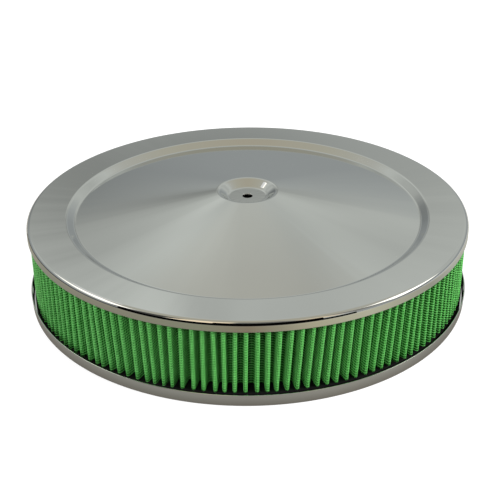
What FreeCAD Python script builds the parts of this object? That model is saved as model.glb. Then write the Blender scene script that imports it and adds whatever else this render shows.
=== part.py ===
"""Round open-element air cleaner for a carburetor.

A chromed lid, a pleated filter element between two moulded seal rings, a
chromed base pan with a turned-down neck, and a gasket round the neck.
Millimetres, +Z up. The origin is on the axis, in the plane of the base
pan's flat underside, which is what the part stands on.
"""
import FreeCAD, Part
import math
import os

from FreeCAD import Vector

# Sheet metal
SHEET = 0.8

# Lid
LID_DIAMETER = 355.6
LID_RIM_HEIGHT = 7.3
LID_EDGE_BEND = 2.6
LID_STEP_DEPTH = 4.6
LID_STEP_RUN = 7.4
LID_STEP_BEND = 8.0
CONE_RISE = 19.9

# Dished seat in the middle of the lid
DISH_FLOOR_DIAMETER = 32.4
DISH_WALL_RUN = 7.8
DISH_DEPTH = 5.4
DISH_BEND = 2.6
STUD_HOLE_DIAMETER = 8.2

# Filter element
ELEMENT_HEIGHT = 66.4
PLEAT_DEPTH = 13.5
PLEAT_PITCH = 7.53
MEDIA_THICKNESS = 1.3
OUTER_FOLD_WIDTH = 3.8
INNER_FOLD_WIDTH = 4.4

# Moulded seal rings
UPPER_SEAL_HEIGHT = 6.0
LOWER_SEAL_HEIGHT = 9.9
SEAL_OUTER_MARGIN = 0.5
SEAL_INNER_MARGIN = 5.6
SEAL_EDGE_SLOPE = 1.2

# Base pan
BASE_RIM_HEIGHT = 10.2
BASE_RIM_FLARE = 0.6
BASE_EDGE_BEND = 2.6
BASE_STEP_RISE = 4.6
BASE_STEP_RUN = 7.4
BASE_STEP_BEND = 8.0
SHELF_HEIGHT = 22.0
SHELF_MARGIN = 20.2
SHELF_BEND = 4.0
NECK_BORE_DIAMETER = 130.6
NECK_LIP_LENGTH = 6.0
NECK_BEND = 1.2

# Gasket
GASKET_THICKNESS = 7.0
GASKET_WIDTH = 8.5

# Clearances
PLEAT_TO_LID_RIM = 0.9
SEAL_TO_BASE_RIM = 1.6
SEAL_TO_STEP = 10.0

# A rounded bend or fold has one flat for about each such angle
BEND_FLAT_ANGLE = math.radians(45)
OUTER_FOLD_FLAT_ANGLE = math.radians(45)
INNER_FOLD_FLAT_ANGLE = math.radians(90)

# Radii that follow from the sizes above
lid_radius = LID_DIAMETER / 2
pleat_tip_radius = lid_radius - SHEET - PLEAT_TO_LID_RIM
pleat_root_radius = pleat_tip_radius - PLEAT_DEPTH
seal_outer_radius = pleat_tip_radius + SEAL_OUTER_MARGIN
seal_inner_radius = pleat_root_radius - SEAL_INNER_MARGIN
step_radius = seal_inner_radius - SEAL_TO_STEP
dish_floor_radius = DISH_FLOOR_DIAMETER / 2
base_floor_radius = seal_outer_radius + SEAL_TO_BASE_RIM + SHEET
neck_wall_radius = NECK_BORE_DIAMETER / 2 + SHEET
gasket_inner_radius = neck_wall_radius + NECK_BEND
gasket_outer_radius = gasket_inner_radius + GASKET_WIDTH

# Heights that follow from the sizes above
element_bottom = SHEET
element_top = element_bottom + ELEMENT_HEIGHT
media_bottom = element_bottom + LOWER_SEAL_HEIGHT
media_top = element_top - UPPER_SEAL_HEIGHT
lid_top = element_top + SHEET
lid_step_foot = lid_top - LID_STEP_DEPTH
dish_rim_height = lid_step_foot + CONE_RISE
dish_floor_height = dish_rim_height - DISH_DEPTH


def unit(start, end):
    """Direction from one section point to the next."""
    length = math.dist(start, end)
    return ((end[0] - start[0]) / length, (end[1] - start[1]) / length)


def moved_sideways(points, distance):
    """The same line of points shifted to its left, or to its right for a negative distance."""
    normals = []
    for start, end in zip(points, points[1:]):
        r, z = unit(start, end)
        normals.append((-z, r))
    before = normals[:1] + normals
    after = normals + normals[-1:]
    moved = []
    for (r, z), (ar, az), (br, bz) in zip(points, before, after):
        share = distance / (1 + ar * br + az * bz)
        moved.append((r + share * (ar + br), z + share * (az + bz)))
    return moved


def bent(points, radii):
    """The line of points with a bend of the given radius at each inner corner."""
    line = [points[0]]
    for before, corner, after, radius in zip(points, points[1:], points[2:], radii):
        ar, az = unit(before, corner)
        br, bz = unit(corner, after)
        angle = math.atan2(ar * bz - az * br, ar * br + az * bz)
        reach = radius * math.tan(abs(angle) / 2)
        side = math.copysign(radius, angle)
        centre = (corner[0] - ar * reach - az * side, corner[1] - az * reach + ar * side)
        flats = max(1, round(abs(angle) / BEND_FLAT_ANGLE))
        for step in range(flats + 1):
            swing = angle * step / flats
            r = centre[0] + side * (az * math.cos(swing) + ar * math.sin(swing))
            z = centre[1] + side * (az * math.sin(swing) - ar * math.cos(swing))
            line.append((r, z))
    return line + [points[-1]]


def spun(section):
    """Solid of one closed section, given as (radius, height) points, spun round the axis."""
    corners = [Vector(r, 0, z) for r, z in section]
    outline = Part.makePolygon(corners + corners[:1])
    return Part.Face(outline).revolve(Vector(0, 0, 0), Vector(0, 0, 1), 360)


def spun_sheet(points, radii, thickness):
    """Sheet metal spun round the axis.

    The points and bend radii are those of the face that shows. The metal lies
    to the left of it for a positive thickness, and to the right for a negative one.
    """
    face = bent(points, radii)
    back = moved_sideways(face, thickness)
    return spun(face + back[::-1])


def make_top_lid():
    """Down-turned rim, flat band, step, cone and dished seat, pressed from one sheet."""
    face = [
        (lid_radius, lid_top - LID_RIM_HEIGHT),
        (lid_radius, lid_top),
        (step_radius, lid_top),
        (step_radius - LID_STEP_RUN, lid_step_foot),
        (dish_floor_radius + DISH_WALL_RUN, dish_rim_height),
        (dish_floor_radius, dish_floor_height),
        (STUD_HOLE_DIAMETER / 2, dish_floor_height),
    ]
    bends = [LID_EDGE_BEND, LID_STEP_BEND, LID_STEP_BEND, DISH_BEND, DISH_BEND]
    return spun_sheet(face, bends, SHEET)


def make_base_pan():
    """Up-turned rim, flat seat, step, cone, shelf and turned-down neck, pressed from one sheet."""
    step_head = step_radius - BASE_STEP_RUN
    face = [
        (base_floor_radius + BASE_RIM_FLARE, BASE_RIM_HEIGHT),
        (base_floor_radius, 0),
        (step_radius, 0),
        (step_head, BASE_STEP_RISE),
        (gasket_outer_radius + SHELF_MARGIN, SHELF_HEIGHT),
        (neck_wall_radius, SHELF_HEIGHT),
        (neck_wall_radius, SHELF_HEIGHT - NECK_LIP_LENGTH),
    ]
    bends = [BASE_EDGE_BEND, BASE_STEP_BEND, BASE_STEP_BEND, SHELF_BEND, NECK_BEND]
    return spun_sheet(face, bends, -SHEET)


def make_neck_gasket():
    """Rubber ring under the shelf, round the neck."""
    bottom = SHELF_HEIGHT - GASKET_THICKNESS
    return spun(
        [
            (gasket_inner_radius, bottom),
            (gasket_outer_radius, bottom),
            (gasket_outer_radius, SHELF_HEIGHT),
            (gasket_inner_radius, SHELF_HEIGHT),
        ]
    )


def make_seal_ring(metal_side, media_side, sheet_bend):
    """Moulded end of the element, from the sheet metal it seals on to the pleats it holds.

    Its outer corner clears the inside of the metal's bend, and its edges slope
    where it meets the pleats.
    """
    towards_media = math.copysign(1, media_side - metal_side)
    corner = sheet_bend - SHEET
    shoulder = media_side - towards_media * SEAL_EDGE_SLOPE
    return spun(
        [
            (seal_inner_radius, metal_side),
            (seal_outer_radius - corner, metal_side),
            (seal_outer_radius, metal_side + towards_media * corner),
            (seal_outer_radius, shoulder),
            (pleat_tip_radius, media_side),
            (pleat_root_radius, media_side),
            (seal_inner_radius, shoulder),
        ]
    )


def on_pleat(middle_angle, along, across):
    """Point at a distance from the axis along a pleat's middle line, and across it."""
    r = Vector(math.cos(middle_angle), math.sin(middle_angle), 0)
    sideways = Vector(-r.y, r.x, 0)
    return r * along + sideways * across


def round_fold(middle_angle, crown_radius, half_width, flat_angle):
    """Corner points of a fold that stands on a half circle.

    It bulges away from the axis for a positive half width, and towards it for a negative one.
    """
    centre = crown_radius - half_width
    flats = round(math.pi / flat_angle)
    points = []
    for step in range(flats + 1):
        swing = math.pi * (step / flats - 1 / 2)
        along = centre + half_width * math.cos(swing)
        across = abs(half_width) * math.sin(swing)
        points.append(on_pleat(middle_angle, along, across))
    return points


def square_fold(middle_angle, crown_radius, half_width):
    """The two corner points on the hidden side of a fold."""
    return [
        on_pleat(middle_angle, crown_radius, -half_width),
        on_pleat(middle_angle, crown_radius, half_width),
    ]


def make_pleated_media():
    """Endless ribbon of gauze and screen, folded in and out all the way round."""
    pleats = round(2 * math.pi * pleat_tip_radius / PLEAT_PITCH)
    pitch_angle = 2 * math.pi / pleats
    outer_half = OUTER_FOLD_WIDTH / 2
    inner_half = INNER_FOLD_WIDTH / 2
    outside = []
    inside = []
    for pleat in range(pleats):
        tip = pleat * pitch_angle
        root = tip + pitch_angle / 2
        outside += round_fold(tip, pleat_tip_radius, outer_half, OUTER_FOLD_FLAT_ANGLE)
        outside += square_fold(
            root, pleat_root_radius + MEDIA_THICKNESS, inner_half - MEDIA_THICKNESS
        )
        inside += square_fold(
            tip, pleat_tip_radius - MEDIA_THICKNESS, outer_half - MEDIA_THICKNESS
        )
        inside += round_fold(root, pleat_root_radius, -inner_half, INNER_FOLD_FLAT_ANGLE)
    outlines = [Part.makePolygon(line + line[:1]) for line in (outside, inside)]
    media = Part.Face(outlines).extrude(Vector(0, 0, media_top - media_bottom))
    return media.translated(Vector(0, 0, media_bottom))


def main():
    """Build every piece and write one file for each."""
    os.makedirs("parts", exist_ok=True)
    pieces = {
        "top_lid": make_top_lid(),
        "upper_seal_ring": make_seal_ring(element_top, media_top, LID_EDGE_BEND),
        "pleated_media": make_pleated_media(),
        "lower_seal_ring": make_seal_ring(element_bottom, media_bottom, BASE_EDGE_BEND),
        "base_pan": make_base_pan(),
        "neck_gasket": make_neck_gasket(),
    }
    for name, shape in pieces.items():
        shape.exportStep(f"parts/{name}.step")


main()
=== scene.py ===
"""Looks of a round open-element air cleaner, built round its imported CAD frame.

The lid and the base pan are chromed pressings, the element is pleated green
gauze under a wire screen, held by two moulded black seal rings, and a rubber
gasket sits round the neck. Sizes are in millimetres in the classes' fields and
in metres in the meshes. +Z is up, and the part stands on Z = 0.
"""

import logging
import math
from dataclasses import dataclass
from enum import Enum

import bmesh
import bpy
from mathutils import Matrix, Vector, noise


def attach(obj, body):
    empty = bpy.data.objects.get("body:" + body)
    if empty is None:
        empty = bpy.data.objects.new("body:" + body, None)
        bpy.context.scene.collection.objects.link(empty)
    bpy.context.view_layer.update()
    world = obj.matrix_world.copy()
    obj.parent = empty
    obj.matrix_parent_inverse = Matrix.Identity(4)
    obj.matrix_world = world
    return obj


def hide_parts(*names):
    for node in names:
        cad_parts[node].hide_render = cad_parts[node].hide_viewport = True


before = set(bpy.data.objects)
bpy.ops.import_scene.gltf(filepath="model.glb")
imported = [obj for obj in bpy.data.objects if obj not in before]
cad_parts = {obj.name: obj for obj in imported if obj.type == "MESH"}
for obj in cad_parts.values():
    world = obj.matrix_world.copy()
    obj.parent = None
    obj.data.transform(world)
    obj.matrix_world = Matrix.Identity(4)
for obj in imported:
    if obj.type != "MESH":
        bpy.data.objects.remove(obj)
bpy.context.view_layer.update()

MM = 0.001
FULL_TURN = 2 * math.pi
ZENITH = 90.0
MERGE_DISTANCE = 1e-7
FOLD_MERGE_DISTANCE = 1e-6
RING_TOLERANCE = 2e-6
BODY = "root"

log = logging.getLogger("air_cleaner")

Colour = tuple[float, float, float]
Place = tuple[float, float, float]
Stops = tuple[tuple[float, Colour], ...]
Profile = tuple[tuple[float, float], ...]

WHITE: Colour = (1.0, 1.0, 1.0)


class Facing(Enum):
    """Which way the face of a pressing that shows looks."""

    UP = 1
    DOWN = -1


class Slot(Enum):
    """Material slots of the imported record."""

    CHROME = "chrome"
    GAUZE = "green_gauze"
    URETHANE = "black_urethane"
    RUBBER = "black_rubber"


class Ray(Enum):
    """Kinds of ray that a stage material tells apart."""

    CAMERA = "Is Camera Ray"
    GLOSSY = "Is Glossy Ray"
    TRANSMISSION = "Is Transmission Ray"


@dataclass(frozen=True)
class SoftCard:
    """A brighter or darker part of the studio's walls, in degrees, that fades like a bell."""

    azimuth: float
    elevation: float
    width: float
    height: float
    level: float


@dataclass(frozen=True)
class HardCard(SoftCard):
    """A lit or dark card with an edge, in degrees from the camera's side."""

    edge: float = 4.0
    colour: Colour = (1.0, 0.96, 0.88)


def opaque(colour: object) -> object:
    """Gives a colour its alpha of 1, and leaves a socket as it is."""
    return (*colour, 1.0) if isinstance(colour, tuple) else colour


class Board:
    """The node tree of one material or world, with short words for the nodes that it uses."""

    def __init__(self, tree: bpy.types.NodeTree) -> None:
        """Empties the tree.

        Args:
            tree: the node tree to fill.
        """
        self.tree = tree
        self.tree.nodes.clear()

    def node(self, kind: str, **settings: object) -> bpy.types.Node:
        """Adds a node.

        Args:
            kind: the node's type name without its ShaderNode prefix.
            settings: properties of the node to set.

        Returns:
            The new node.
        """
        made = self.tree.nodes.new("ShaderNode" + kind)
        for name, value in settings.items():
            setattr(made, name, value)
        return made

    def feed(self, socket: bpy.types.NodeSocket, value: object) -> None:
        """Links a socket to another one, or sets its value.

        Args:
            socket: the input.
            value: an output socket, a number or a vector.
        """
        if isinstance(value, bpy.types.NodeSocket):
            self.tree.links.new(value, socket)
        else:
            socket.default_value = value

    def math(self, operation: str, *values: object, clamp: bool = False) -> bpy.types.NodeSocket:
        """Does one sum.

        Args:
            operation: the Math node's operation.
            values: its inputs, numbers or sockets.
            clamp: keeps the result between 0 and 1.

        Returns:
            The result's socket.
        """
        made = self.node("Math", operation=operation, use_clamp=clamp)
        for socket, value in zip(made.inputs, values):
            self.feed(socket, value)
        return made.outputs[0]

    def smooth_step(self, value: object, low: float, high: float) -> bpy.types.NodeSocket:
        """Rises smoothly from 0 at low to 1 at high, or falls where high is below low.

        Args:
            value: the number that is looked at.
            low: where the result is 0.
            high: where the result is 1.

        Returns:
            The result's socket.
        """
        made = self.node("MapRange", interpolation_type="SMOOTHSTEP")
        turned = high < low
        self.feed(made.inputs["Value"], value)
        self.feed(made.inputs["From Min"], min(low, high))
        self.feed(made.inputs["From Max"], max(low, high))
        self.feed(made.inputs["To Min"], 1.0 if turned else 0.0)
        self.feed(made.inputs["To Max"], 0.0 if turned else 1.0)
        return made.outputs["Result"]

    def window(self, value: object, low: float, high: float, edge: float) -> bpy.types.NodeSocket:
        """Is 1 between low and high, and falls to 0 over an edge outside them.

        Args:
            value: the number that is looked at.
            low: lower end.
            high: upper end.
            edge: how wide each soft edge is.

        Returns:
            The result's socket.
        """
        rise = self.smooth_step(value, low - edge, low)
        fall = self.smooth_step(value, high + edge, high)
        return self.math("MULTIPLY", rise, fall)

    def ramp(self, value: object, stops: Stops) -> bpy.types.NodeSocket:
        """Colours a number from 0 to 1.

        Args:
            value: the number.
            stops: positions and their colours, in order.

        Returns:
            The colour's socket.
        """
        made = self.node("ValToRGB")
        made.color_ramp.interpolation = "LINEAR"
        elements = made.color_ramp.elements
        while len(elements) < len(stops):
            elements.new(0.5)
        for element, (position, _) in zip(elements, stops):
            element.position = position
        for element, (_, colour) in zip(elements, stops):
            element.color = opaque(colour)
        self.feed(made.inputs["Fac"], value)
        return made.outputs["Color"]

    def mix(self, factor: object, first: object, second: object) -> bpy.types.NodeSocket:
        """Mixes two colours.

        Args:
            factor: 0 for the first, 1 for the second.
            first: colour or socket.
            second: colour or socket.

        Returns:
            The mixed colour's socket.
        """
        made = self.node("Mix", data_type="RGBA")
        self.feed(made.inputs[0], factor)
        for socket, value in ((made.inputs[6], first), (made.inputs[7], second)):
            self.feed(socket, opaque(value))
        return made.outputs[2]

    def tinted(self, first: object, second: object) -> bpy.types.NodeSocket:
        """Multiplies two colours.

        Args:
            first: colour's socket.
            second: colour's socket.

        Returns:
            The product's socket.
        """
        made = self.node("VectorMath", operation="MULTIPLY")
        self.feed(made.inputs[0], first)
        self.feed(made.inputs[1], second)
        return made.outputs[0]

    def place(self) -> tuple[bpy.types.NodeSocket, ...]:
        """Reads the place on the object.

        Returns:
            Sockets of the place as a vector, and of its x, y and z.
        """
        vector = self.node("TexCoord").outputs["Object"]
        split = self.node("SeparateXYZ")
        self.feed(split.inputs[0], vector)
        return (vector, *split.outputs)

    def round_place(self) -> tuple[bpy.types.NodeSocket, ...]:
        """Reads the place on the object round its axis.

        Returns:
            Sockets of the distance from the axis, the angle round it and the height.
        """
        _, x, y, z = self.place()
        squares = self.math("ADD", self.math("MULTIPLY", x, x), self.math("MULTIPLY", y, y))
        return self.math("SQRT", squares), self.math("ARCTAN2", y, x), z

    def joined(self, x: object, y: object, z: object) -> bpy.types.NodeSocket:
        """Joins three numbers into one vector.

        Args:
            x: first number or socket.
            y: second number or socket.
            z: third number or socket.

        Returns:
            The vector's socket.
        """
        made = self.node("CombineXYZ")
        for socket, value in zip(made.inputs, (x, y, z)):
            self.feed(socket, value)
        return made.outputs[0]

    def noise(self, vector: object, scale: float, detail: float = 2.0) -> bpy.types.NodeSocket:
        """Makes soft noise from 0 to 1.

        Args:
            vector: where it is read.
            scale: how fine it is.
            detail: how many finer layers it has.

        Returns:
            The noise value's socket.
        """
        made = self.node("TexNoise")
        self.feed(made.inputs["Vector"], vector)
        made.inputs["Scale"].default_value = scale
        made.inputs["Detail"].default_value = detail
        return made.outputs["Fac"]

    def varied(self, pattern: object, middle: float, spread: float) -> bpy.types.NodeSocket:
        """Lets a pattern from 0 to 1 vary a number.

        Args:
            pattern: the pattern's socket.
            middle: the number in the middle of its range.
            spread: how wide that range is.

        Returns:
            The varied number's socket.
        """
        return self.math("MULTIPLY_ADD", pattern, spread, middle - spread / 2)

    def threads(self, place: object, pitch: float) -> bpy.types.NodeSocket:
        """Rises over each thread of a cloth, and falls to 0 between two.

        Args:
            place: distance across the threads, in metres.
            pitch: distance from one thread to the next, in metres.

        Returns:
            The height's socket, from 0 to 1.
        """
        return self.math("ABSOLUTE", self.math("SINE", self.math("MULTIPLY", place, math.pi / pitch)))

    def ahead(self, x: object, y: object) -> bpy.types.NodeSocket:
        """Azimuth in radians, from the camera's side towards +X."""
        return self.math("ARCTAN2", x, self.math("MULTIPLY", y, -1.0))

    def bump(self, height: object, distance: float, below: object = None) -> bpy.types.NodeSocket:
        """Raises the surface by a height.

        Args:
            height: number from 0 to 1.
            distance: how high 1 is, in metres.
            below: normal that it is laid on.

        Returns:
            The normal's socket.
        """
        made = self.node("Bump")
        made.inputs["Distance"].default_value = distance
        self.feed(made.inputs["Height"], height)
        if below is not None:
            self.feed(made.inputs["Normal"], below)
        return made.outputs["Normal"]

    def bell(self, azimuth: object, elevation: object, card: SoftCard) -> bpy.types.NodeSocket:
        """Rises like a bell over a card's middle.

        Args:
            azimuth: azimuth in degrees.
            elevation: elevation in degrees.
            card: the card.

        Returns:
            The socket of the card's level times the bell.
        """
        across = self.math("DIVIDE", self.math("SUBTRACT", azimuth, card.azimuth), card.width)
        up = self.math("DIVIDE", self.math("SUBTRACT", elevation, card.elevation), card.height)
        square = self.math("ADD", self.math("MULTIPLY", across, across), self.math("MULTIPLY", up, up))
        return self.math("MULTIPLY", self.math("EXPONENT", self.math("MULTIPLY", square, -0.5)), card.level)

    def ray(self, *kinds: Ray) -> bpy.types.NodeSocket:
        """Tells whether a ray is of one of some kinds.

        Args:
            kinds: the kinds of ray.

        Returns:
            A socket that is 1 for them and 0 for all others.
        """
        path = self.node("LightPath")
        total = path.outputs[kinds[0].value]
        for kind in kinds[1:]:
            total = self.math("ADD", total, path.outputs[kind.value], clamp=True)
        return total

    def emission(self, colour: object, strength: object = 1.0) -> bpy.types.NodeSocket:
        """Makes a glowing shader.

        Args:
            colour: colour or socket.
            strength: number or socket.

        Returns:
            The shader's socket.
        """
        made = self.node("Emission")
        self.feed(made.inputs["Color"], opaque(colour))
        self.feed(made.inputs["Strength"], strength)
        return made.outputs[0]

    def diffuse(self, colour: Colour) -> bpy.types.NodeSocket:
        """Makes a matt shader of one colour.

        Args:
            colour: the colour.

        Returns:
            The shader's socket.
        """
        made = self.node("BsdfDiffuse")
        made.inputs["Color"].default_value = opaque(colour)
        return made.outputs[0]

    def added(self, first: object, second: object) -> bpy.types.NodeSocket:
        """Adds two shaders.

        Args:
            first: shader's socket.
            second: shader's socket.

        Returns:
            The sum's socket.
        """
        made = self.node("AddShader")
        self.feed(made.inputs[0], first)
        self.feed(made.inputs[1], second)
        return made.outputs[0]

    def choose(self, factor: object, first: object, second: object) -> bpy.types.NodeSocket:
        """Mixes two shaders.

        Args:
            factor: 0 for the first, 1 for the second.
            first: shader's socket.
            second: shader's socket.

        Returns:
            The mixed shader's socket.
        """
        made = self.node("MixShader")
        for socket, value in zip(made.inputs, (factor, first, second)):
            self.feed(socket, value)
        return made.outputs[0]

    def principled(self, **values: object) -> None:
        """Makes the surface shader and links it to the output.

        Args:
            values: inputs by name, with _ for a space.
        """
        made = self.node("BsdfPrincipled")
        for name, value in values.items():
            self.feed(made.inputs[name.replace("_", " ")], value)
        self.surface(made.outputs[0])

    def surface(self, shader: bpy.types.NodeSocket) -> None:
        """Links a shader to the material's output.

        Args:
            shader: the shader's socket.
        """
        self.feed(self.node("OutputMaterial").inputs["Surface"], shader)


def new_material(name: str) -> tuple[bpy.types.Material, Board]:
    """Makes an empty material.

    Args:
        name: its name.

    Returns:
        The material and its node board.
    """
    material = bpy.data.materials.new(name)
    material.use_nodes = True
    return material, Board(material.node_tree)


@dataclass(frozen=True)
class Chrome:
    """Polished chrome on pressed steel, with faint rings from the polishing wheel.

    The press left it wavy, and the waves widen like fans from the middle. A scale
    or a detail is that of a noise, and a height is in metres.
    """

    name: str = "chrome"
    colour: Colour = (0.62, 0.63, 0.62)
    dull_share: float = 0.93
    roughness: float = 0.06
    roughness_spread: float = 0.04
    anisotropy: float = 0.35
    anisotropy_turn: float = 0.25
    ring_scale: float = 900.0
    ring_detail: float = 4.0
    ring_twist: float = 4e-4
    ring_height: float = 0.4e-6
    wave_scale: float = 14.0
    wave_detail: float = 1.0
    wave_height: float = 6e-5
    fan_scale: float = 3.2
    fan_detail: float = 2.5
    fan_height: float = 2.2e-3
    haze_scale: float = 30.0
    haze_detail: float = 3.0
    haze_tint: float = 0.35

    def normal(self, board: Board) -> bpy.types.NodeSocket:
        """Lays the polishing rings on the fans and the waves.

        Args:
            board: the material's nodes.

        Returns:
            The normal's socket.
        """
        radius, angle, height = board.round_place()
        place, x, y, _ = board.place()
        waves = board.noise(place, self.wave_scale, self.wave_detail)
        outward = board.joined(board.math("DIVIDE", x, radius), board.math("DIVIDE", y, radius), 0.0)
        fans = board.math("MULTIPLY", board.noise(outward, self.fan_scale, self.fan_detail), radius)
        twist = board.math("MULTIPLY", angle, self.ring_twist)
        across = board.joined(board.math("ADD", radius, height), twist, 0.0)
        rings = board.noise(across, self.ring_scale, self.ring_detail)
        normal = board.bump(waves, self.wave_height)
        normal = board.bump(fans, self.fan_height, below=normal)
        return board.bump(rings, self.ring_height, below=normal)

    def material(self) -> bpy.types.Material:
        """Builds the finish.

        Returns:
            The material.
        """
        material, board = new_material(self.name)
        place, x, y, _ = board.place()
        haze = board.noise(place, self.haze_scale, self.haze_detail)
        dull = tuple(self.dull_share * channel for channel in self.colour)
        board.principled(
            Base_Color=board.mix(board.math("MULTIPLY", haze, self.haze_tint), self.colour, dull),
            Metallic=1.0,
            Roughness=board.varied(haze, self.roughness, self.roughness_spread),
            Anisotropic=self.anisotropy,
            Anisotropic_Rotation=self.anisotropy_turn,
            Normal=self.normal(board),
            Tangent=board.joined(board.math("MULTIPLY", y, -1.0), x, 0.0),
        )
        return material


@dataclass(frozen=True)
class Gauze:
    """Oiled cotton gauze, dyed green, with its threads; its colours are darker than the dye alone, as
    painted shade between the wires and down the pleats' flanks.

    The thread's pitch and the reach from the axis are in millimetres, and its
    height is in metres.
    """

    name: str = "green_gauze"
    # The gauze's own dyed green, darkened as painted shade between the wires and down the pleats' flanks.
    light: Colour = (0.019, 0.14, 0.015)
    dark: Colour = (0.006, 0.065, 0.005)
    thread: float = 0.62
    thread_height: float = 1.6e-4
    reach: float = 175.0
    weave_share: float = 0.55
    blotch_share: float = 0.6
    blotch_scale: float = 120.0
    blotch_detail: float = 3.0
    roughness: float = 0.6
    roughness_spread: float = 0.2
    specular: float = 0.12

    def material(self) -> bpy.types.Material:
        """Builds the finish.

        Returns:
            The material.
        """
        material, board = new_material(self.name)
        radius, angle, height = board.round_place()
        along = board.math("MULTIPLY_ADD", angle, self.reach * MM, radius)
        warp = board.threads(along, self.thread * MM)
        weft = board.threads(height, self.thread * MM)
        weave = board.math("MULTIPLY", warp, weft)
        blotches = board.noise(board.place()[0], self.blotch_scale, self.blotch_detail)
        stain = board.math("MULTIPLY", blotches, self.blotch_share)
        shade = board.math("MULTIPLY_ADD", weave, self.weave_share, stain, clamp=True)
        board.principled(
            Base_Color=board.mix(shade, self.dark, self.light),
            Roughness=board.varied(blotches, self.roughness, self.roughness_spread),
            Specular_IOR_Level=self.specular,
            Normal=board.bump(weave, self.thread_height),
        )
        return material


@dataclass(frozen=True)
class ScreenWire:
    """Fine wire under a green coating that shines a little where the oil lies; its green is the coating's
    own, lightened in part as a painted highlight on the wires over the darker gauze.
    """

    name: str = "green_screen_wire"
    # The coating's green, lightened in part as a painted highlight on the wires; the mix between light and
    # dark is random.
    light: Colour = (0.175, 0.63, 0.155)
    dark: Colour = (0.055, 0.33, 0.05)
    roughness: float = 0.34
    roughness_spread: float = 0.2
    specular: float = 0.9
    patch_scale: float = 260.0
    patch_detail: float = 3.0
    patch_height: float = 4e-5

    def material(self) -> bpy.types.Material:
        """Builds the finish.

        Returns:
            The material.
        """
        material, board = new_material(self.name)
        patches = board.noise(board.place()[0], self.patch_scale, self.patch_detail)
        board.principled(
            Base_Color=board.mix(patches, self.dark, self.light),
            Roughness=board.varied(patches, self.roughness, self.roughness_spread),
            Specular_IOR_Level=self.specular,
            Normal=board.bump(patches, self.patch_height),
        )
        return material


@dataclass(frozen=True)
class Moulded:
    """Moulded black urethane or rubber, with the faint grain of its mould."""

    name: str
    colour: Colour
    worn: Colour
    roughness: float = 0.62
    roughness_spread: float = 0.18
    specular: float = 0.1
    grain_scale: float = 900.0
    grain_detail: float = 2.0
    grain_height: float = 3e-5
    cloud_scale: float = 45.0
    cloud_detail: float = 3.0
    cloud_height: float = 2e-4

    def material(self) -> bpy.types.Material:
        """Builds the finish.

        Returns:
            The material.
        """
        material, board = new_material(self.name)
        place = board.place()[0]
        grain = board.noise(place, self.grain_scale, self.grain_detail)
        clouds = board.noise(place, self.cloud_scale, self.cloud_detail)
        board.principled(
            Base_Color=board.mix(clouds, self.colour, self.worn),
            Roughness=board.varied(clouds, self.roughness, self.roughness_spread),
            Specular_IOR_Level=self.specular,
            Normal=board.bump(grain, self.grain_height, below=board.bump(clouds, self.cloud_height)),
        )
        return material


def new_object(bm: bmesh.types.BMesh, name: str, material: bpy.types.Material) -> bpy.types.Object:
    """Turns a bmesh into an object of the scene.

    Args:
        bm: the mesh, in metres and in place; it is used up.
        name: the object's name.
        material: its finish.

    Returns:
        The object.
    """
    mesh = bpy.data.meshes.new(name)
    bm.to_mesh(mesh)
    bm.free()
    mesh.materials.append(material)
    made = bpy.data.objects.new(name, mesh)
    bpy.context.scene.collection.objects.link(made)
    return made


def finished_piece(
    bm: bmesh.types.BMesh,
    name: str,
    material: bpy.types.Material,
    slot: Slot,
    *nodes: str,
) -> bpy.types.Object:
    """Turns a bmesh into a piece of the part.

    Args:
        bm: the mesh, in metres and in place; it is used up.
        name: the piece's name.
        material: its finish.
        slot: the record's material slot; it is not used.
        nodes: CAD nodes that it stands for.

    Returns:
        The piece.
    """
    piece = new_object(bm, name, material)
    faces = piece.data.polygons
    faces.foreach_set("use_smooth", [True] * len(faces))
    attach(piece, BODY)
    if nodes:
        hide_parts(*nodes)
    log.info("%s: %d faces", name, len(faces))
    return piece


def give_thickness(piece: bpy.types.Object, thickness: float) -> None:
    """Gives a piece its wall, behind the face that shows.

    Args:
        piece: the piece.
        thickness: the wall's thickness in millimetres.
    """
    wall = piece.modifiers.new("thickness", "SOLIDIFY")
    wall.thickness = thickness * MM
    wall.offset = -1
    wall.use_even_offset = True


def of_kind(items: list, kind: type) -> list:
    """Picks the vertices, the edges or the faces from a mixed list."""
    return [item for item in items if isinstance(item, kind)]


def turn_between(before: Vector, corner: Vector, after: Vector) -> float:
    """Angle by which a line of points turns at a corner.

    Args:
        before: the point before the corner.
        corner: the corner.
        after: the point after it.

    Returns:
        The angle in radians.
    """
    return (corner - before).angle(after - corner)


def ring_edges(bm: bmesh.types.BMesh, radius: float, height: float) -> list[bmesh.types.BMEdge]:
    """Finds the ring of edges that a profile's corner left.

    Args:
        bm: the spun mesh.
        radius: distance from the axis, in metres.
        height: height, in metres.

    Returns:
        The edges of that ring.
    """
    spot = Vector((radius, height))
    return [
        edge
        for edge in bm.edges
        if all((Vector((v.co.xy.length, v.co.z)) - spot).length < RING_TOLERANCE for v in edge.verts)
    ]


def spun_profile(points: list[Vector], steps: int, closed: bool) -> bmesh.types.BMesh:
    """Spins a line of points round the axis.

    Args:
        points: the profile's points, x for the distance from the axis and z for the height.
        steps: how many steps the full turn has.
        closed: joins the last point to the first.

    Returns:
        The mesh, with doubles merged and normals recalculated.
    """
    bm = bmesh.new()
    verts = [bm.verts.new(point) for point in points]
    ends = verts[1:] + verts[:1] if closed else verts[1:]
    edges = [bm.edges.new(pair) for pair in zip(verts, ends)]
    bmesh.ops.spin(
        bm, geom=verts + edges, cent=(0, 0, 0), axis=(0, 0, 1), angle=FULL_TURN, steps=steps, use_merge=True
    )
    bmesh.ops.remove_doubles(bm, verts=bm.verts, dist=MERGE_DISTANCE)
    bmesh.ops.recalc_face_normals(bm, faces=bm.faces)
    return bm


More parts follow.
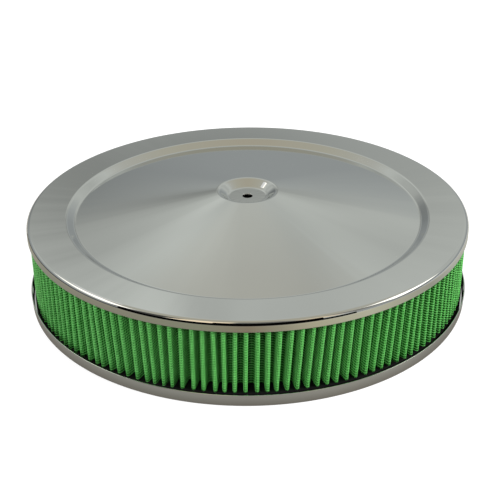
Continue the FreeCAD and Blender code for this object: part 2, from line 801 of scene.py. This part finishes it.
def round_ring(bm: bmesh.types.BMesh, corner: Vector, reach: float, segments: int) -> None:
    """Rounds one ring of a spun mesh.

    Args:
        bm: the spun mesh.
        corner: the profile's corner.
        reach: how far from the corner the rounding starts, in metres.
        segments: flats of the rounding.
    """
    bmesh.ops.bevel(
        bm,
        geom=ring_edges(bm, corner.x, corner.z),
        offset=reach,
        offset_type="OFFSET",
        segments=segments,
        profile=0.5,
        affect="EDGES",
        material=-1,
        clamp_overlap=False,
    )


@dataclass
class Pressing:
    """A chromed pressing, spun from the profile of the face that shows."""

    name: str
    node: str
    facing: Facing
    corners: Profile
    bends: tuple[float, ...]
    sheet: float = 0.8
    steps: int = 256
    flat_angle: float = math.radians(9)
    fewest_flats: int = 4
    support: float = 0.35
    cut_edge: float = 0.22
    cut_flats: int = 2
    cut_angle: float = math.radians(60)

    def reaches(self, points: list[Vector]) -> list[float]:
        """How far each bend starts from its corner, with nothing at the two ends.

        Args:
            points: the profile's corners.

        Returns:
            One distance for each corner, in metres.
        """
        turned = [
            radius * MM * math.tan(turn_between(*three) / 2)
            for radius, three in zip(self.bends, zip(points, points[1:], points[2:]))
        ]
        return [0.0, *turned, 0.0]

    def supported(self, points: list[Vector], reaches: list[float]) -> list[Vector]:
        """Adds a point on each side of every bend, so that the flats beside it shade flat.

        Args:
            points: the profile's corners.
            reaches: how far each bend starts from its corner.

        Returns:
            The profile with the added points.
        """
        line = [points[0]]
        for start, end, from_start, from_end in zip(points, points[1:], reaches, reaches[1:]):
            along = (end - start).normalized()
            gap = self.support * MM
            line.append(start + along * (from_start + gap))
            line.append(end - along * (from_end + gap))
            line.append(end)
        return line

    def build(self, material: bpy.types.Material) -> bpy.types.Object:
        """Spins the profile, rounds its bends and gives it its thickness.

        Args:
            material: the chrome.

        Returns:
            The piece.
        """
        points = [Vector((r * MM, 0, z * MM)) for r, z in self.corners]
        reaches = self.reaches(points)
        bm = spun_profile(self.supported(points, reaches), self.steps, closed=False)
        if sum(face.normal.z * face.calc_area() for face in bm.faces) * self.facing.value < 0:
            bmesh.ops.reverse_faces(bm, faces=bm.faces)
        for index in range(1, len(points) - 1):
            turn = turn_between(*points[index - 1 : index + 2])
            flats = max(self.fewest_flats, round(turn / self.flat_angle))
            round_ring(bm, points[index], reaches[index], flats)
        piece = finished_piece(bm, self.name, material, Slot.CHROME, self.node)
        give_thickness(piece, self.sheet)
        edge = piece.modifiers.new("cut_edges", "BEVEL")
        edge.width = self.cut_edge * MM
        edge.segments = self.cut_flats
        edge.limit_method = "ANGLE"
        edge.angle_limit = self.cut_angle
        return piece


@dataclass
class MouldedRing:
    """A moulded ring, spun from its closed section, with softened edges.

    Its free end may lean to one side, and sag at both, by so many millimetres at
    its outer edge.
    """

    name: str
    node: str
    slot: Slot
    section: Profile
    softening: float
    steps: int = 192
    segments: int = 3
    lean: float = 0.0
    sag: float = 0.0

    def build(self, material: bpy.types.Material) -> bpy.types.Object:
        """Spins the section and softens its edges.

        Args:
            material: the ring's finish.

        Returns:
            The piece.
        """
        points = [Vector((r * MM, 0, z * MM)) for r, z in self.section]
        bm = spun_profile(points, self.steps, closed=True)
        for before, corner, after in zip(points[-1:] + points, points, points[1:] + points[:1]):
            reach = self.softening * MM * math.tan(turn_between(before, corner, after) / 2)
            round_ring(bm, corner, reach, self.segments)
        bmesh.ops.recalc_face_normals(bm, faces=bm.faces)
        foot, shoulder = points[0].z, points[-1].z
        outer = max(point.x for point in points)
        for vert in bm.verts:
            share = (vert.co.z - foot) / (shoulder - foot)
            aside = vert.co.x / outer
            vert.co.z += share * (self.lean * aside - self.sag * aside**2) * MM
        return finished_piece(bm, self.name, material, self.slot, self.node)


@dataclass(frozen=True)
class Splay:
    """A stretch of the element whose pleats lean.

    Its azimuth and half width are in degrees, and the lean is in millimetres from
    the element's middle to its end.
    """

    azimuth: float
    half_width: float
    lean: float
    steepness: int = 4

    def lean_at(self, azimuth: float) -> float:
        """Lean of a pleat at some azimuth, in millimetres."""
        return self.lean * math.exp(-(((azimuth - self.azimuth) / self.half_width) ** self.steepness))


@dataclass(frozen=True)
class Outline:
    """How finely one pleat's outline is drawn."""

    crest_flats: int
    valley_flats: int
    cuts: int = 0


@dataclass
class PleatedElement:
    """The folded gauze and the wire screen that lies on its outside.

    Rungs are the wires that run round it, and strands those that run up the pleats.
    """

    pleats: int = 147
    tip_radius: float = 175.75
    root_radius: float = 163.9
    crest: float = 1.2
    valley: float = 2.25
    bottom: float = 5.2
    top: float = 61.8
    gauze_thickness: float = 0.9
    rows: int = 5
    wire: float = 0.8
    wire_height: float = 0.3
    rungs: int = 27
    first_rung: float = 6.28
    rung_pitch: float = 2.06
    strand: float = 0.22
    sway: float = 1.6
    sway_across: float = 9.0
    sway_up: float = 140.0
    held_share: float = 0.3
    splays: tuple[Splay, ...] = (Splay(27.0, 22.0, 2.8), Splay(-32.0, 12.0, -2.4))
    middle: float = 35.0
    gauze_outline: Outline = Outline(8, 4)
    rung_outline: Outline = Outline(6, 3)
    strand_outline: Outline = Outline(4, 2, 3)
    strand_sides: int = 3
    strand_lift: float = 0.4

    def pleat_sway(self, pleat: int, height: float) -> float:
        """How far one pleat stands to the side of its even place.

        Args:
            pleat: its number.
            height: height of the point, in metres.

        Returns:
            The distance in millimetres.
        """
        angle = 2 * self.half_pitch() * pleat
        across = self.tip_radius / self.sway_across
        at = Vector((math.cos(angle) * across, math.sin(angle) * across, height / MM / self.sway_up))
        return self.sway * noise.noise(at)

    def swayed(self, place: Vector) -> Vector:
        """Moves a point round the axis a little, since no two real pleats stand alike.

        A crest moves as one, over the held share of the pitch on each side of its
        middle, and the valley takes up the rest.

        Args:
            place: the point in the even element.

        Returns:
            The point in the real one.
        """
        along = math.atan2(place.y, place.x) / (2 * self.half_pitch())
        pleat = math.floor(along)
        share = min(max((along - pleat - self.held_share) / (1 - 2 * self.held_share), 0.0), 1.0)
        shift = self.pleat_sway(pleat, place.z) * (1 - share) + self.pleat_sway(pleat + 1, place.z) * share
        ahead = math.degrees(math.atan2(place.x, -place.y))
        for splay in self.splays:
            shift += splay.lean_at(ahead) * (place.z / MM - self.middle) / self.middle
        return Matrix.Rotation(shift * MM / place.xy.length, 3, "Z") @ place

    def half_pitch(self) -> float:
        """Half the angle from one pleat to the next."""
        return math.pi / self.pleats

    def fold(
        self, bm: bmesh.types.BMesh, first: bmesh.types.BMVert, centre: Vector, way: int, flats: int
    ) -> bmesh.types.BMVert:
        """Draws one round fold.

        Args:
            bm: the mesh that takes it.
            first: where it starts.
            centre: its centre.
            way: 1 to turn left, -1 to turn right.
            flats: how many flats it has.

        Returns:
            Where it ends.
        """
        arc = bmesh.ops.spin(bm, geom=[first], cent=centre, axis=(0, 0, way), angle=math.pi, steps=flats)
        return of_kind(arc["geom_last"], bmesh.types.BMVert)[0]

    def draw_pleat(self, bm: bmesh.types.BMesh, outline: Outline) -> None:
        """Draws one pleat in an empty mesh, from its first flank to the next pleat's.

        Args:
            bm: the mesh that takes it.
            outline: how finely it is drawn.
        """
        crest, valley = self.crest * MM, self.valley * MM
        inner = Matrix.Rotation(self.half_pitch(), 3, "Z")
        after = Matrix.Rotation(2 * self.half_pitch(), 3, "Z")
        outer_centre = Vector((self.tip_radius * MM - crest, 0, 0))
        inner_centre = inner @ Vector((self.root_radius * MM + valley, 0, 0))
        first = bm.verts.new(outer_centre - Vector((0, crest, 0)))
        crest_end = self.fold(bm, first, outer_centre, 1, outline.crest_flats)
        foot = bm.verts.new(inner_centre - inner @ Vector((0, valley, 0)))
        foot_end = self.fold(bm, foot, inner_centre, -1, outline.valley_flats)
        last = bm.verts.new(after @ first.co)
        flanks = [bm.edges.new((crest_end, foot)), bm.edges.new((foot_end, last))]
        if outline.cuts:
            bmesh.ops.subdivide_edges(bm, edges=flanks, cuts=outline.cuts)

    def repeat_round(self, bm: bmesh.types.BMesh) -> None:
        """Copies what stands at the first pleat to every other one.

        Args:
            bm: the mesh.
        """
        bmesh.ops.spin(
            bm,
            geom=bm.verts[:] + bm.edges[:],
            cent=(0, 0, 0),
            axis=(0, 0, 1),
            angle=FULL_TURN - 2 * self.half_pitch(),
            steps=self.pleats - 1,
            use_duplicate=True,
        )

    def ring(self, outline: Outline) -> bmesh.types.BMesh:
        """Folds the outline all the way round.

        Args:
            outline: how finely each pleat is drawn.

        Returns:
            A mesh with one closed line of edges at height 0.
        """
        bm = bmesh.new()
        self.draw_pleat(bm, outline)
        self.repeat_round(bm)
        bmesh.ops.remove_doubles(bm, verts=bm.verts, dist=FOLD_MERGE_DISTANCE)
        return bm

    def raised(self, bm: bmesh.types.BMesh, edges: list, rise: float) -> list:
        """Extrudes a line of edges upwards.

        Args:
            bm: the mesh.
            edges: the line's edges.
            rise: how far, in metres.

        Returns:
            The new line's edges.
        """
        made = bmesh.ops.extrude_edge_only(bm, edges=edges)["geom"]
        bmesh.ops.translate(bm, verts=of_kind(made, bmesh.types.BMVert), vec=(0, 0, rise))
        return of_kind(made, bmesh.types.BMEdge)

    def raised_to_top(self, bm: bmesh.types.BMesh) -> list:
        """Lifts a mesh to the element's bottom, and extrudes its edges to the top, row by row.

        Args:
            bm: the mesh, at height 0.

        Returns:
            The edges at the top.
        """
        bmesh.ops.translate(bm, verts=bm.verts, vec=(0, 0, self.bottom * MM))
        edges = bm.edges[:]
        for _ in range(self.rows):
            edges = self.raised(bm, edges, (self.top - self.bottom) * MM / self.rows)
        return edges

    def face_outwards(self, bm: bmesh.types.BMesh) -> None:
        """Turns an open ring of faces so that the folds' crests look away from the axis.

        Args:
            bm: the mesh.
        """
        bmesh.ops.recalc_face_normals(bm, faces=bm.faces)
        outermost = max(bm.faces, key=lambda face: face.calc_center_median().xy.length)
        if outermost.normal.dot(outermost.calc_center_median()) < 0:
            bmesh.ops.reverse_faces(bm, faces=bm.faces)

    def sway_all(self, bm: bmesh.types.BMesh) -> None:
        """Moves every vertex with its pleat.

        Args:
            bm: the mesh.
        """
        for vert in bm.verts:
            vert.co = self.swayed(vert.co)

    def build_gauze(self, material: bpy.types.Material) -> bpy.types.Object:
        """Folds the gauze.

        Args:
            material: its finish.

        Returns:
            The piece.
        """
        bm = self.ring(self.gauze_outline)
        self.raised_to_top(bm)
        self.face_outwards(bm)
        self.sway_all(bm)
        piece = finished_piece(bm, "pleated_gauze", material, Slot.GAUZE, "pleated_media")
        give_thickness(piece, self.gauze_thickness)
        return piece

    def build_rungs(self, name: str, rungs: range, material: bpy.types.Material) -> bpy.types.Object:
        """Lays the wires that run round the element in and out of the folds.

        Args:
            name: the piece's name.
            rungs: which of them, counted from the bottom.
            material: their finish.

        Returns:
            The piece.
        """
        bm = self.ring(self.rung_outline)
        lower = bm.edges[:]
        middle = self.raised(bm, lower, self.wire * MM / 2)
        upper = self.raised(bm, middle, self.wire * MM / 2)
        self.face_outwards(bm)
        bm.normal_update()
        ridge = {vert for edge in middle for vert in edge.verts}
        outwards = [(vert, vert.normal.copy()) for vert in ridge]
        for vert, direction in outwards:
            vert.co += direction * self.wire_height * MM
        bmesh.ops.bridge_loops(bm, edges=lower + upper)
        bmesh.ops.recalc_face_normals(bm, faces=bm.faces)
        one = bm.verts[:] + bm.edges[:] + bm.faces[:]
        for index in rungs[1:]:
            copy = bmesh.ops.duplicate(bm, geom=one)["geom"]
            rise = (index - rungs[0]) * self.rung_pitch * MM
            bmesh.ops.translate(bm, verts=of_kind(copy, bmesh.types.BMVert), vec=(0, 0, rise))
        foot = (self.first_rung + rungs[0] * self.rung_pitch) * MM
        bmesh.ops.translate(bm, verts=bm.verts, vec=(0, 0, foot))
        self.sway_all(bm)
        return finished_piece(bm, name, material, Slot.GAUZE)

    def build_strands(self, material: bpy.types.Material) -> bpy.types.Object:
        """Stands the wires that run up the pleats.

        Args:
            material: their finish.

        Returns:
            The piece.
        """
        outline = bmesh.new()
        self.draw_pleat(outline, self.strand_outline)
        bm = bmesh.new()
        radius = self.strand * MM
        for vert in outline.verts:
            if len(vert.link_edges) == 2:
                ends = [edge.other_vert(vert).co for edge in vert.link_edges]
                along = (ends[1] - ends[0]).normalized()
                outward = Vector((along.y, -along.x, 0))
                outward *= math.copysign(1, outward.dot(vert.co - self.hollow(vert.co)))
                place = Matrix.Translation(vert.co + outward * radius * self.strand_lift)
                bmesh.ops.create_circle(bm, segments=self.strand_sides, radius=radius, matrix=place)
        outline.free()
        self.repeat_round(bm)
        lower = bm.edges[:]
        upper = self.raised_to_top(bm)
        bmesh.ops.holes_fill(bm, edges=lower + upper, sides=self.strand_sides)
        bmesh.ops.recalc_face_normals(bm, faces=bm.faces)
        self.sway_all(bm)
        return finished_piece(bm, "screen_strands", material, Slot.GAUZE)

    def hollow(self, place: Vector) -> Vector:
        """Point on the nearer pleat's middle line, at some point's distance.

        Args:
            place: a point of the outline.

        Returns:
            A point inside that pleat.
        """
        next_line = 2 * self.half_pitch() * place.x
        return Vector((place.x, 0 if place.y < next_line / 2 else next_line, 0))

    def build(self, gauze: bpy.types.Material, wire: bpy.types.Material) -> None:
        """Builds the gauze and its screen.

        Args:
            gauze: the gauze's finish.
            wire: the screen's finish.
        """
        self.build_gauze(gauze)
        half = self.rungs // 2
        self.build_rungs("screen_rungs_lower", range(half), wire)
        self.build_rungs("screen_rungs_upper", range(half, self.rungs), wire)
        self.build_strands(wire)


@dataclass
class Lid:
    """The lid: rim, flat band, step, cone, and a dish with the stud hole in its floor."""

    radius: float = 177.8
    foot: float = 60.2
    band: float = 68.0
    step_radius: float = 146.3
    cone_radius: float = 140.1
    cone_foot: float = 63.4
    dish_radius: float = 23.5
    dish_rim: float = 83.37
    dish_floor_radius: float = 16.2
    dish_floor: float = 77.9
    stud_hole_radius: float = 4.1
    bends: tuple[float, ...] = (3.4, 3.0, 3.0, 4.2, 4.6)

    def build(self, chrome: bpy.types.Material) -> None:
        """Presses the lid.

        Args:
            chrome: its finish.
        """
        Pressing(
            name="chromed_lid",
            node="top_lid",
            facing=Facing.UP,
            corners=(
                (self.radius, self.foot),
                (self.radius, self.band),
                (self.step_radius, self.band),
                (self.cone_radius, self.cone_foot),
                (self.dish_radius, self.dish_rim),
                (self.dish_floor_radius, self.dish_floor),
                (self.stud_hole_radius, self.dish_floor),
            ),
            bends=self.bends,
        ).build(chrome)


@dataclass
class BasePan:
    """The base pan: rim, flat seat, step, cone, shelf and turned-down neck."""

    rim_radius: float = 179.6
    rim: float = 9.7
    radius: float = 179.0
    step_radius: float = 147.0
    cone_radius: float = 139.6
    cone_foot: float = 4.6
    shelf_radius: float = 96.0
    shelf: float = 22.0
    neck_radius: float = 66.1
    neck_foot: float = 16.0
    bends: tuple[float, ...] = (1.4, 3.5, 3.5, 4.0, 1.2)

    def build(self, chrome: bpy.types.Material) -> None:
        """Presses the base pan.

        Args:
            chrome: its finish.
        """
        Pressing(
            name="chromed_base_pan",
            node="base_pan",
            facing=Facing.DOWN,
            corners=(
                (self.rim_radius, self.rim),
                (self.radius, 0.0),
                (self.step_radius, 0.0),
                (self.cone_radius, self.cone_foot),
                (self.shelf_radius, self.shelf),
                (self.neck_radius, self.shelf),
                (self.neck_radius, self.neck_foot),
            ),
            bends=self.bends,
        ).build(chrome)


@dataclass
class ElementEnd:
    """A moulded end of the element, from the metal that it seals on to the pleats that it holds."""

    name: str
    node: str
    metal: float
    media: float
    lean: float = 0.0
    sag: float = 0.0
    inner_radius: float = 157.0
    root_radius: float = 162.6
    tip_radius: float = 176.1
    outer_radius: float = 176.6
    corner: float = 1.8
    slope: float = 1.2
    softening: float = 0.7

    def build(self, urethane: bpy.types.Material) -> None:
        """Moulds the ring.

        Args:
            urethane: its finish.
        """
        side = math.copysign(1, self.media - self.metal)
        shoulder = self.media - self.slope * side
        MouldedRing(
            name=self.name,
            node=self.node,
            slot=Slot.URETHANE,
            section=(
                (self.inner_radius, self.metal),
                (self.outer_radius - self.corner, self.metal),
                (self.outer_radius, self.metal + self.corner * side),
                (self.outer_radius, shoulder),
                (self.tip_radius, self.media),
                (self.root_radius, self.media),
                (self.inner_radius, shoulder),
            ),
            softening=self.softening,
            lean=self.lean,
            sag=self.sag,
        ).build(urethane)


@dataclass
class Gasket:
    """The rubber ring round the neck, under the shelf."""

    inner_radius: float = 67.3
    outer_radius: float = 75.8
    foot: float = 15.0
    shelf: float = 22.0
    softening: float = 0.9
    steps: int = 128

    def build(self, rubber: bpy.types.Material) -> None:
        """Moulds the gasket.

        Args:
            rubber: its finish.
        """
        MouldedRing(
            name="gasket_ring",
            node="neck_gasket",
            slot=Slot.RUBBER,
            section=(
                (self.inner_radius, self.foot),
                (self.outer_radius, self.foot),
                (self.outer_radius, self.shelf),
                (self.inner_radius, self.shelf),
            ),
            softening=self.softening,
            steps=self.steps,
        ).build(rubber)


@dataclass
class AirCleaner:
    """The whole part, piece by piece."""

    # The urethane is black, and its colour is taken below a real black as painted shade down in the pan and
    # under the lid, among the pleats' ends.
    urethane: Moulded = Moulded("black_urethane", (0.003, 0.003, 0.003), (0.006, 0.006, 0.006))
    rubber: Moulded = Moulded("black_rubber", (0.018, 0.018, 0.018), (0.032, 0.031, 0.03))
    ends: tuple[ElementEnd, ...] = (
        ElementEnd("lower_seal", "lower_seal_ring", metal=0.8, media=9.6, lean=1.0, sag=3.0),
        ElementEnd("upper_seal", "upper_seal_ring", metal=67.2, media=61.2),
    )

    def build(self) -> None:
        """Builds the metal, the element and the gasket."""
        chrome = Chrome().material()
        Lid().build(chrome)
        BasePan().build(chrome)
        PleatedElement().build(Gauze().material(), ScreenWire().material())
        urethane = self.urethane.material()
        for end in self.ends:
            end.build(urethane)
        Gasket().build(self.rubber.material())


@dataclass(frozen=True)
class Flag:
    """A curved upright strip that the lid reflects.

    Its ends are in degrees from the camera's side, and its heights and its radius
    about the axis in millimetres.
    """

    name: str
    first: float
    last: float
    bottom: float
    top: float
    level: float
    radius: float = 180.0


@dataclass(frozen=True)
class Lamp:
    """A soft square lamp, with its place and width in metres and its power in watts."""

    name: str
    place: Place
    power: float
    width: float = 0.9


@dataclass(frozen=True)
class Viewpoint:
    """The photograph's camera: place in metres, angles in degrees, lens and sensor in millimetres."""

    place: Place = (0.0, -0.77177, 0.44182)
    pitch: float = 28.21
    yaw: float = 0.13
    roll: float = -0.36
    lens: float = 75.6
    sensor: float = 36.0


@dataclass
class Studio:
    """Floor, surroundings, lamps and camera.

    The walls are coloured by elevation, as a share of the way up to the zenith. The
    floor's reflection is coloured by distance from the axis, as a share of its reach,
    and is darker near the part, darkest in a ring at the pan's foot, as a painted
    contact shadow; it is tinted by azimuth, as a share of a full turn from behind.
    Distances on the floor are in metres, and its gap under the part is in millimetres.
    """

    viewpoint: Viewpoint = Viewpoint()
    world_level: float = 0.48
    dome_radius: float = 6.0
    card_sector: float = 60.0
    flag_steps: int = 48
    floor_size: float = 30.0
    floor_gap: float = 0.1
    seen_shade: float = 0.32
    seen_glow: float = 0.76
    lit_shade: float = 0.8
    under_radius: float = 0.148
    under_glow: float = 0.6
    glow_reach: float = 2.0
    tint_start: float = 0.2
    tint_full: float = 0.25
    least_tint: float = 0.25
    walls: Stops = (
        (0.0, (0.348, 0.370, 0.370)),
        (0.1111, (0.381, 0.405, 0.405)),
        (0.2, (0.484, 0.510, 0.500)),
        (0.2889, (0.642, 0.665, 0.632)),
        (0.3778, (0.579, 0.600, 0.570)),
        (0.4667, (0.690, 0.715, 0.679)),
        (0.5556, (0.600, 0.600, 0.546)),
        (0.7222, (0.570, 0.550, 0.456)),
        (1.0, (0.550, 0.501, 0.396)),
    )
    soft_cards: tuple[SoftCard, ...] = (
        SoftCard(-23.4, 11.2, 8.6, 13.2, -0.45),
        SoftCard(-9.2, 34.3, 4.75, 7.2, 0.56),
        SoftCard(-10.5, 29.3, 3.2, 4.4, -0.38),
        SoftCard(-1.8, 24.0, 7.2, 2.6, -0.45),
        SoftCard(-8.5, 40.5, 3.5, 2.7, -0.4),
        SoftCard(12.7, 33.5, 3.8, 4.8, 0.35),
        SoftCard(-3.4, 35.1, 1.65, 5.7, -0.25),
        SoftCard(12.6, 37.4, 3.7, 8.1, -0.2),
        SoftCard(12.0, 26.0, 3.5, 3.75, -0.13),
        SoftCard(-12.0, 24.5, 5.0, 3.0, -0.16),
    )
    # The floor's colour in reflections by distance: darker near the part and darkest at the pan's foot, as
    # a painted contact shadow.
    floor_reflection_and_shadow: Stops = (
        (0.0, (0.42, 0.42, 0.40)),
        (0.074, (0.42, 0.42, 0.40)),
        (0.0895, (0.22, 0.20, 0.17)),
        (0.0915, (0.38, 0.37, 0.34)),
        (0.098, (0.42, 0.40, 0.35)),
        (0.115, (0.46, 0.44, 0.37)),
        (0.145, (0.56, 0.53, 0.41)),
        (0.20, (0.54, 0.51, 0.43)),
        (0.35, (0.60, 0.58, 0.54)),
        (1.0, (0.78, 0.78, 0.77)),
    )
    floor_sides: Stops = (
        (0.0, WHITE),
        (0.25, (0.78, 0.78, 0.77)),
        (0.36, (0.71, 0.70, 0.68)),
        (0.455, (0.64, 0.68, 0.62)),
        (0.50, (0.63, 0.55, 0.50)),
        (0.53, (0.82, 0.80, 0.74)),
        (0.56, (1.14, 1.12, 1.02)),
        (0.616, (1.32, 1.35, 1.30)),
        (0.65, (1.15, 1.18, 1.15)),
        (0.693, (0.93, 0.96, 0.98)),
        (0.74, (1.25, 1.30, 1.40)),
        (1.0, WHITE),
    )
    hard_cards: tuple[HardCard, ...] = (
        HardCard(-95.0, 42.0, 22.0, 9.0, 2.1),
        HardCard(-28.0, 54.0, 15.0, 13.0, 1.4, 4.0, (1.0, 0.82, 0.58)),
        HardCard(-58.0, 42.0, 12.0, 20.0, 0.10),
        HardCard(92.0, 38.0, 14.0, 12.0, 2.6),
        HardCard(42.0, 51.0, 9.0, 9.0, 1.1, 4.0, (1.0, 0.82, 0.58)),
        HardCard(64.0, 46.0, 7.0, 16.0, 0.30),
        HardCard(12.0, 64.0, 18.0, 8.0, 0.22, 8.0),
    )
    flags: tuple[Flag, ...] = (
        Flag("black_flag", -8.0, 17.0, 64.9, 71.2, 0.003),
        Flag("black_flag_left", -31.0, -8.0, 64.9, 69.0, 0.004),
        Flag("dark_flag_left", -78.0, -31.0, 64.9, 66.5, 0.10),
        Flag("dark_flag_right", 17.0, 25.0, 64.9, 67.7, 0.01),
        Flag("dish_glint", -119.0, -96.0, 280.0, 460.0, 1.05, 260.0),
    )
    lamps: tuple[Lamp, ...] = (
        Lamp("key_lamp", (-0.5, -1.5, 1.3), 16.0),
        Lamp("fill_lamp", (1.6, -0.7, 0.9), 42.0),
        Lamp("side_lamp", (-1.7, -0.2, 0.8), 9.0),
        Lamp("back_lamp", (-0.4, 1.5, 1.1), 18.0),
    )

    def show_only_to_glossy(self, backdrop: bpy.types.Object) -> None:
        """Keeps a backdrop out of everything but reflections.

        Args:
            backdrop: the object.
        """
        backdrop.visible_camera = False
        backdrop.visible_diffuse = False
        backdrop.visible_shadow = False
        backdrop.visible_transmission = False
        backdrop.visible_volume_scatter = False

    def staged(self, bm: bmesh.types.BMesh, name: str, material: bpy.types.Material) -> bpy.types.Object:
        """Turns a bmesh into an object of the scene, for the stage.

        Args:
            bm: the mesh; it is used up.
            name: the object's name.
            material: its finish.

        Returns:
            The object.
        """
        made = new_object(bm, name, material)
        return made

    def build_world(self) -> None:
        """Makes the soft light all round, with a white background."""
        world = bpy.data.worlds.new("studio")
        world.use_nodes = True
        bpy.context.scene.world = world
        board = Board(world.node_tree)
        white = board.ray(Ray.CAMERA, Ray.GLOSSY, Ray.TRANSMISSION)
        made = board.node("Background")
        board.feed(made.inputs["Color"], opaque(WHITE))
        strength = board.math("MULTIPLY_ADD", white, 1 - self.world_level, self.world_level)
        board.feed(made.inputs["Strength"], strength)
        board.feed(board.node("OutputWorld").inputs["Surface"], made.outputs[0])

    def floor_reflection(self, board: Board, radius: object) -> bpy.types.NodeSocket:
        """Colours the floor for the chrome that reflects it, with a painted contact shadow near the part.

        Args:
            board: the floor's nodes.
            radius: socket of the distance from the axis.

        Returns:
            The colour's socket.
        """
        _, x, y, _ = board.place()
        turned = board.math("MULTIPLY_ADD", board.ahead(x, y), 1 / FULL_TURN, 0.5, clamp=True)
        outer = board.smooth_step(radius, self.tint_start, self.tint_full)
        share = board.math("MULTIPLY_ADD", outer, 1 - self.least_tint, self.least_tint)
        tint = board.mix(share, WHITE, board.ramp(turned, self.floor_sides))
        # Darker near the part, as a painted contact shadow in the reflections.
        glow = board.ramp(board.math("DIVIDE", radius, self.glow_reach, clamp=True), self.floor_reflection_and_shadow)
        return board.tinted(glow, tint)

    def build_floor(self) -> None:
        """Lays the white floor, which keeps the part's shadow and glows a little under it."""
        material, board = new_material("floor")
        radius, _, _ = board.round_place()
        under = board.math("LESS_THAN", radius, self.under_radius)
        glow = board.emission(WHITE, board.math("MULTIPLY", under, self.under_glow))
        lit = board.added(board.diffuse((self.lit_shade,) * 3), glow)
        reflected = board.emission(self.floor_reflection(board, radius))
        seen = board.added(board.diffuse((self.seen_shade,) * 3), board.emission(WHITE, self.seen_glow))
        shader = board.choose(board.ray(Ray.GLOSSY, Ray.TRANSMISSION), lit, reflected)
        shader = board.choose(board.ray(Ray.CAMERA), shader, seen)
        clear = board.node("BsdfTransparent").outputs[0]
        behind = board.node("NewGeometry").outputs["Backfacing"]
        board.surface(board.choose(behind, shader, clear))
        bm = bmesh.new()
        low = Matrix.Translation((0, 0, -self.floor_gap * MM))
        bmesh.ops.create_grid(bm, x_segments=1, y_segments=1, size=self.floor_size / 2, matrix=low)
        self.staged(bm, "floor", material)

    def build_surroundings(self) -> None:
        """Makes the room that the chrome reflects: grey walls, a warm ceiling and soft cards."""
        material, board = new_material("surroundings")
        vector, *_ = board.place()
        unit = board.node("VectorMath", operation="NORMALIZE")
        board.feed(unit.inputs[0], vector)
        split = board.node("SeparateXYZ")
        board.feed(split.inputs[0], unit.outputs[0])
        x, y, z = split.outputs
        elevation = board.math("DEGREES", board.math("ARCSINE", z))
        behind = board.math("DEGREES", board.math("ARCTAN2", x, y))
        ahead = board.math("DEGREES", board.ahead(x, y))
        glow = board.ramp(board.math("DIVIDE", elevation, ZENITH, clamp=True), self.walls)
        folded = board.math("WRAP", behind, self.card_sector, -self.card_sector)
        total = None
        for card in self.soft_cards:
            bell = board.bell(folded, elevation, card)
            total = bell if total is None else board.math("ADD", total, bell)
        gain = board.math("ADD", total, 1.0)
        shader = board.emission(glow, gain)
        for card in self.hard_cards:
            beside = board.window(ahead, card.azimuth - card.width, card.azimuth + card.width, card.edge)
            low, high = card.elevation - card.height, card.elevation + card.height
            patch = board.math("MULTIPLY", beside, board.window(elevation, low, high, card.edge))
            shader = board.choose(patch, shader, board.emission(card.colour, card.level))
        board.surface(shader)
        material.cycles.emission_sampling = "NONE"
        bm = bmesh.new()
        bmesh.ops.create_icosphere(bm, subdivisions=4, radius=self.dome_radius)
        bmesh.ops.reverse_faces(bm, faces=bm.faces)
        self.show_only_to_glossy(self.staged(bm, "surroundings", material))

    def build_flag(self, flag: Flag) -> None:
        """Stands a curved strip: the low dark ones draw the line along the lid's edge.

        Args:
            flag: the strip.
        """
        material, board = new_material(flag.name)
        board.surface(board.emission((flag.level,) * 3))
        bm = bmesh.new()
        first = math.radians(flag.first)
        foot = Vector((math.sin(first), -math.cos(first), 0)) * flag.radius * MM
        low = bm.verts.new(foot + Vector((0, 0, flag.bottom * MM)))
        high = bm.verts.new(foot + Vector((0, 0, flag.top * MM)))
        bmesh.ops.spin(
            bm,
            geom=[low, high, bm.edges.new((low, high))],
            cent=(0, 0, 0),
            axis=(0, 0, 1),
            angle=math.radians(flag.last - flag.first),
            steps=self.flag_steps,
        )
        self.show_only_to_glossy(self.staged(bm, flag.name, material))

    def build_lamp(self, lamp: Lamp) -> None:
        """Hangs a soft lamp that points at the part.

        Args:
            lamp: the lamp.
        """
        data = bpy.data.lights.new(lamp.name, "AREA")
        data.size = lamp.width
        data.energy = lamp.power
        made = bpy.data.objects.new(lamp.name, data)
        bpy.context.scene.collection.objects.link(made)
        made.location = lamp.place
        made.rotation_mode = "QUATERNION"
        made.rotation_quaternion = (-Vector(lamp.place)).to_track_quat("-Z", "Y")
        made.visible_glossy = False

    def build_camera(self) -> None:
        """Sets up the photograph's viewpoint."""
        view = self.viewpoint
        pitch, yaw, roll = (math.radians(angle) for angle in (view.pitch, view.yaw, view.roll))
        ahead = Vector((math.cos(pitch) * math.sin(yaw), math.cos(pitch) * math.cos(yaw), -math.sin(pitch)))
        right = Vector((math.cos(yaw), -math.sin(yaw), 0))
        up = right.cross(ahead)
        x = right * math.cos(roll) + up * math.sin(roll)
        y = up * math.cos(roll) - right * math.sin(roll)
        turned = Matrix((x, y, -ahead)).transposed().to_4x4()
        data = bpy.data.cameras.new("camera")
        data.lens = view.lens
        data.sensor_width = view.sensor
        camera = bpy.data.objects.new("camera", data)
        bpy.context.scene.collection.objects.link(camera)
        camera.matrix_world = Matrix.Translation(view.place) @ turned
        bpy.context.scene.camera = camera

    def build(self) -> None:
        """Builds the whole stage."""
        self.build_camera()
        self.build_world()
        self.build_floor()
        self.build_surroundings()
        for flag in self.flags:
            self.build_flag(flag)
        for lamp in self.lamps:
            self.build_lamp(lamp)
        bpy.context.scene.view_settings.view_transform = "Standard"


def main() -> None:
    """Builds the stage and the part."""
    logging.basicConfig(level=logging.INFO, format="%(name)s %(message)s")
    Studio().build()
    AirCleaner().build()


if __name__ == "__main__":
    main()
